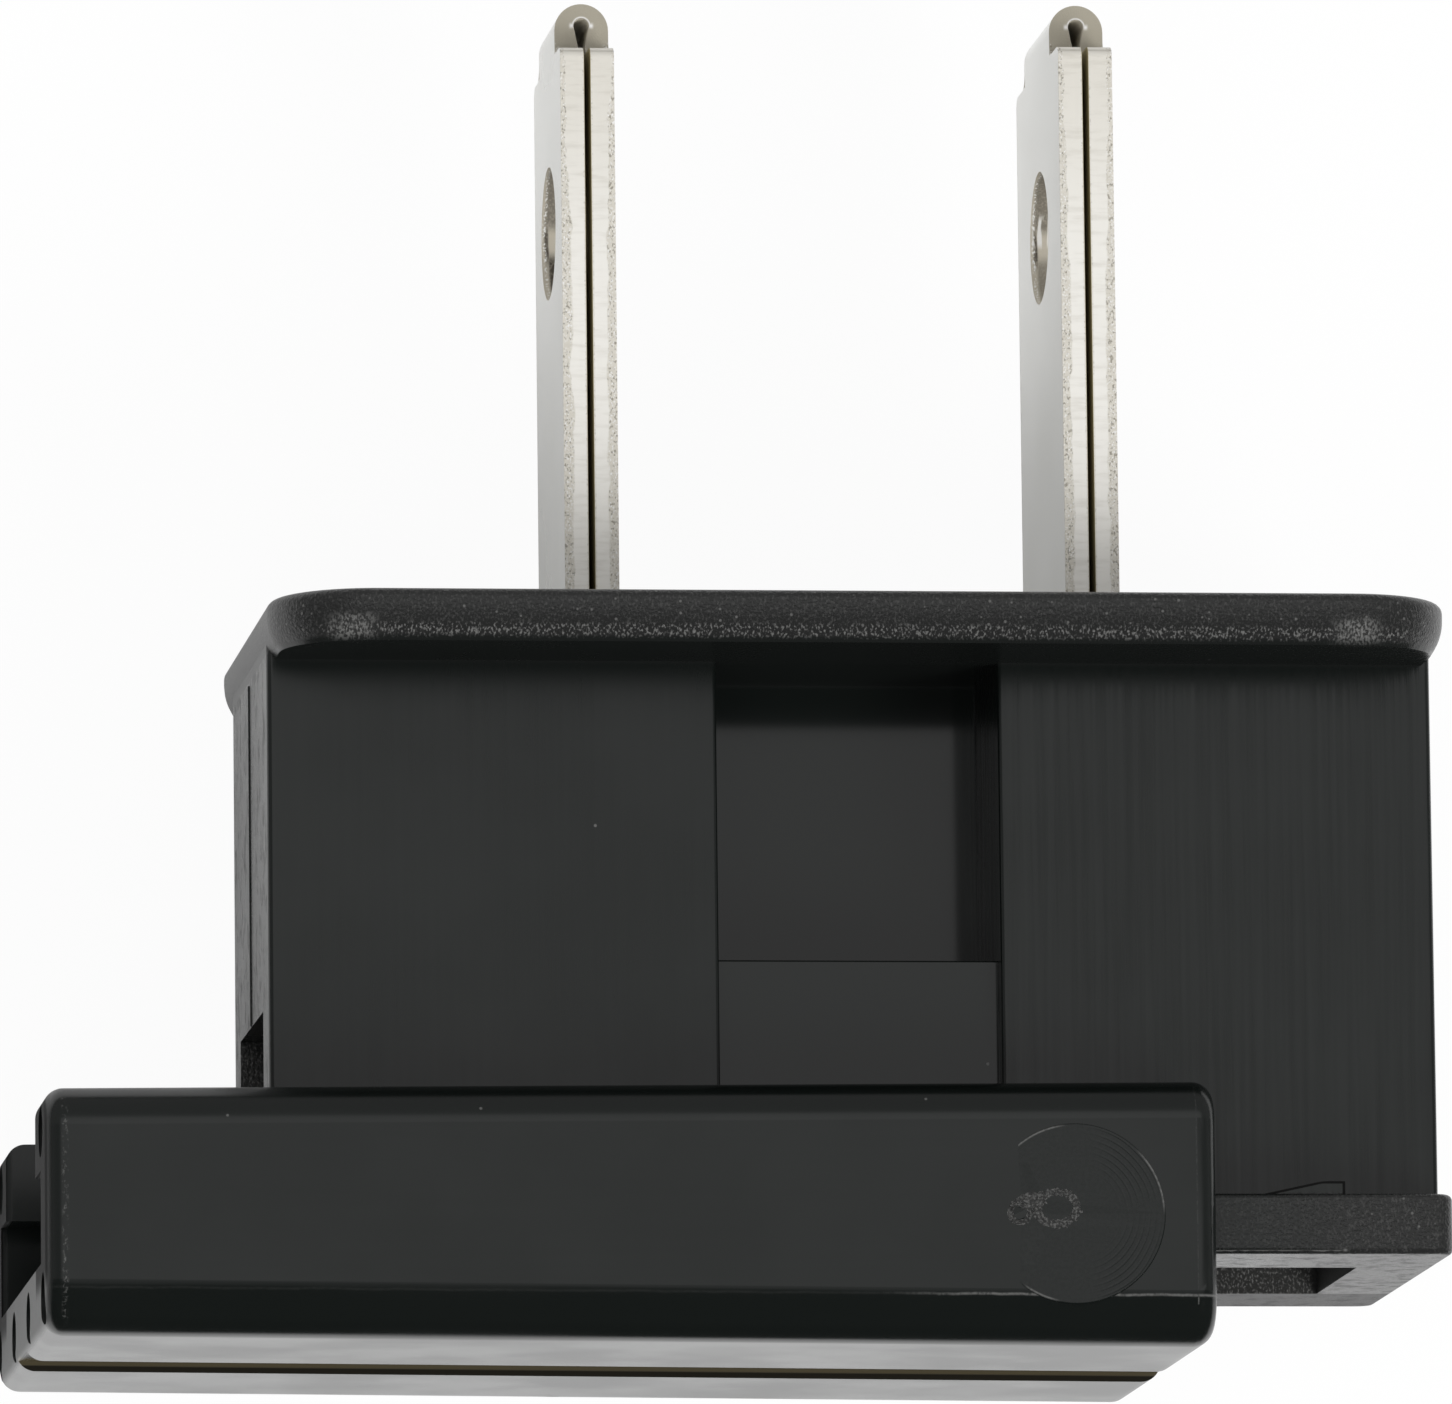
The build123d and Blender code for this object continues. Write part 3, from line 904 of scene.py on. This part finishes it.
class PLUG_OT_add_gate_scar(bpy.types.Operator):
    """Add the torn scar at the side of the gate pad"""

    bl_idname = "plug.add_gate_scar"
    bl_label = "Add gate scar"

    def execute(self, context):
        marks = context.scene.plug_marks
        plastic = context.scene.plug_plastic
        chance = random.Random(marks.seed)
        foot, sunk = 0.0001, 0.00002
        shift, lift = 0.00002, 0.000014
        base = marks.gate_centre[2] + marks.gate_rise - foot
        finishes = [scar_finish(plastic), gate_finish(plastic, marks)]
        # Name, middle, half sizes, width of a step inwards and rises of the steps in scar heights
        lobes = (
            ("gate_scar_large", (0.00455, -0.01556), (0.00068, 0.00057), 0.000075, (0.6, 0.3, -0.2, -0.5)),
            ("gate_scar_small", (0.00363, -0.01566), (0.00032, 0.00034), 0.00005, (0.6, 0.2, -0.5)),
            ("gate_scar_patch", (0.00395, -0.01540), (0.00040, 0.00026), 0.00006, (0.5, 0.1)),
        )
        for name, middle, half, step, rises in lobes:
            shape = make_disc(half[0], half[1], foot - sunk, segments=48)
            bmesh.ops.recalc_face_normals(shape, faces=shape.faces)
            bowl = max(shape.faces, key=lambda part: part.calc_center_median().z)
            for rise in rises:
                bmesh.ops.inset_region(
                    shape, faces=[bowl], thickness=step, depth=rise * marks.scar_height,
                    use_even_offset=True)
            for vert in shape.verts:
                ragged = 0.3 if vert in bowl.verts else 1.0
                if vert.co.z > 0.0:
                    vert.co.x += chance.uniform(-1, 1) * shift * ragged
                    vert.co.y += chance.uniform(-1, 1) * shift * ragged
                    vert.co.z += chance.uniform(-1, 1) * lift * ragged
            bowl.material_index = 1 if rises[-1] < 0 else 0
            bmesh.ops.translate(shape, verts=shape.verts, vec=(middle[0], middle[1], base))
            add_piece(name, shape, finishes, "cover")
        return {"FINISHED"}


class PLUG_OT_add_parting_lines(bpy.types.Operator):
    """Add the parting line of the mould on both ends of the body"""

    bl_idname = "plug.add_parting_lines"
    bl_label = "Add parting lines"

    def execute(self, context):
        zones = context.scene.plug_zones
        width = context.scene.plug_marks.flash_width
        finish = body_finish(context.scene.plug_plastic, zones)
        finish.name = "parting_plastic"
        top_y = -zones.flange_thickness
        ends = (
            ("parting_line_left", -1, zones.pocket_top),
            ("parting_line_right", 1, BODY_LOW.y + zones.rail_thickness),
        )
        for name, side, base_y in ends:
            shape = bmesh.new()
            bmesh.ops.create_cube(shape, size=1.0)
            bmesh.ops.scale(shape, verts=shape.verts, vec=(width, top_y - base_y, width))
            ridge = [edge for edge in shape.edges if all(vert.co.x * side > 0 for vert in edge.verts)]
            round_edges(shape, ridge, width * 0.3)
            place = (side * zones.body_half_length, (top_y + base_y) / 2, 0.0)
            bmesh.ops.translate(shape, verts=shape.verts, vec=place)
            add_piece(name, shape, [finish], "housing")
        return {"FINISHED"}


class PLUG_OT_set_stage(bpy.types.Operator):
    """Set the floor, the light and the camera"""

    bl_idname = "plug.set_stage"
    bl_label = "Set stage"

    def execute(self, context):
        settings = context.scene.plug_stage
        self.lay_floor(settings)
        self.light_world(context.scene)
        lamp_distance = 0.6
        lamps = (
            ("left_lamp", Vector((-0.28, -0.36, 0.90)), settings.left_power),
            ("right_lamp", Vector((0.45, -0.50, 0.74)), settings.right_power),
        )
        for name, direction, power in lamps:
            self.hang_lamp(name, direction.normalized() * lamp_distance, power)
        self.stand_camera(context.scene, settings)
        context.scene.view_settings.view_transform = "Standard"
        return {"FINISHED"}

    def lay_floor(self, settings):
        """A pale sheet under the plug, white to the camera, which keeps the shadow."""
        half_x, half_y, middle_y = 0.12, 0.09, 0.056
        camera_share, mirror_share = 0.95, 0.2
        shape = bmesh.new()
        bmesh.ops.create_grid(shape, x_segments=4, y_segments=4, size=1.0)
        bmesh.ops.scale(shape, verts=shape.verts, vec=(half_x, half_y, 1.0))
        bmesh.ops.translate(shape, verts=shape.verts, vec=(0.0, middle_y, CAD_BOX[0][2]))
        mesh = bpy.data.meshes.new("floor_sheet")
        shape.to_mesh(mesh)
        shape.free()
        floor = add_object("floor_sheet", mesh)
        paper = bpy.data.materials.new("floor_paper")
        tree = empty_tree(paper)
        matte = put(tree, "ShaderNodeBsdfDiffuse", {"Color": settings.floor_colour})
        white = put(tree, "ShaderNodeEmission", {"Color": (1.0, 1.0, 1.0, 1.0), "Strength": 1.0})
        seen, mirrored = rays(tree)
        share = either(both(seen, camera_share), both(mirrored, mirror_share))
        mixed = join("ShaderNodeMixShader", {0: share, 1: matte.outputs[0], 2: white.outputs[0]})
        join("ShaderNodeOutputMaterial", {0: mixed.outputs[0]})
        mesh.materials.append(paper)

    def light_world(self, scene):
        """A soft box overhead, pale behind the blades and dark in front."""
        box_strength, front_glow, back_glow, dim_glow, plain_light = 0.57, 0.02, 0.30, 0.03, 0.5
        world = bpy.data.worlds.new("studio")
        scene.world = world
        tree = empty_tree(world)
        x, y, z = split(put(tree, "ShaderNodeTexCoord").outputs["Generated"])
        lean_y = calc("ARCTAN2", y, z)
        lean_x = calc("ARCTAN2", x, z)
        box_y = band(lean_y, radians(-1), radians(26), radians(6))
        box_x = band(lean_x, radians(-24), radians(34), radians(8))
        box = both(box_y, box_x, box_strength)
        above = fade(z, -0.04, 0.06)
        wall = fade(lean_y, radians(-4), radians(16), front_glow, back_glow)
        glow = plus(plus(box, both(wall, above)), dim_glow)
        seen, mirrored = rays(tree)
        strength = blend(mirrored, plain_light, glow)
        strength = blend(seen, strength, 1.0)
        sky = join("ShaderNodeBackground", {"Color": (1.0, 1.0, 1.0, 1.0), "Strength": strength})
        join("ShaderNodeOutputWorld", {0: sky.outputs[0]})

    def hang_lamp(self, name, place, power):
        """One soft lamp that looks at the plug."""
        light = bpy.data.lights.new(name, "AREA")
        light.shape = "SQUARE"
        light.size = 0.25
        light.energy = power
        lamp = add_object(name, light)
        lamp.location = place
        lamp.rotation_euler = (-place).to_track_quat("-Z", "Y").to_euler()
        lamp.visible_glossy = False

    def stand_camera(self, scene, settings):
        """The photo's camera."""
        data = bpy.data.cameras.new("photo_camera")
        data.sensor_fit = "HORIZONTAL"
        data.sensor_width = 36.0
        data.lens = settings.camera_lens
        data.clip_start = 0.01
        data.clip_end = 10.0
        right = Vector((0.99315, -0.01113, 0.11632))
        up = Vector((-0.00493, 0.99057, 0.13689))
        back = Vector((-0.11675, -0.13652, 0.98373))
        turn = Matrix((right, up, back)).transposed().to_4x4()
        camera = add_object("photo_camera", data)
        camera.matrix_world = Matrix.Translation(Vector(settings.camera_place)) @ turn
        scene.camera = camera


OPERATORS = (
    PLUG_OT_finish_body,
    PLUG_OT_finish_cover,
    PLUG_OT_finish_blades,
    PLUG_OT_add_gate_pad,
    PLUG_OT_add_gate_scar,
    PLUG_OT_add_parting_lines,
    PLUG_OT_set_stage,
)


class PLUG_PT_sidebar(bpy.types.Panel):
    """Buttons and settings of the plug"""

    bl_idname = "PLUG_PT_sidebar"
    bl_label = "Lamp cord plug"
    bl_space_type = "VIEW_3D"
    bl_region_type = "UI"
    bl_category = "Plug"

    def draw(self, context):
        for group in GROUPS:
            settings = getattr(context.scene, group)
            for name in settings.bl_rna.properties.keys():
                if name not in {"rna_type", "name"}:
                    self.layout.prop(settings, name)
        for operator in OPERATORS:
            self.layout.operator(operator.bl_idname)


GROUPS = {
    "plug_plastic": PlugPlasticSettings,
    "plug_zones": PlugZoneSettings,
    "plug_nickel": PlugNickelSettings,
    "plug_marks": PlugMarkSettings,
    "plug_stage": PlugStageSettings,
}


def register():
    for name, group in GROUPS.items():
        bpy.utils.register_class(group)
        setattr(bpy.types.Scene, name, PointerProperty(type=group))
    for operator in OPERATORS:
        bpy.utils.register_class(operator)
    bpy.utils.register_class(PLUG_PT_sidebar)


def unregister():
    bpy.utils.unregister_class(PLUG_PT_sidebar)
    for operator in reversed(OPERATORS):
        bpy.utils.unregister_class(operator)
    for name, group in reversed(GROUPS.items()):
        delattr(bpy.types.Scene, name)
        bpy.utils.unregister_class(group)


def main():
    register()
    bpy.ops.plug.finish_body()
    bpy.ops.plug.finish_cover()
    bpy.ops.plug.finish_blades()
    bpy.ops.plug.add_gate_pad()
    bpy.ops.plug.add_gate_scar()
    bpy.ops.plug.add_parting_lines()
    bpy.ops.plug.set_stage()


if __name__ == "__main__":
    main()
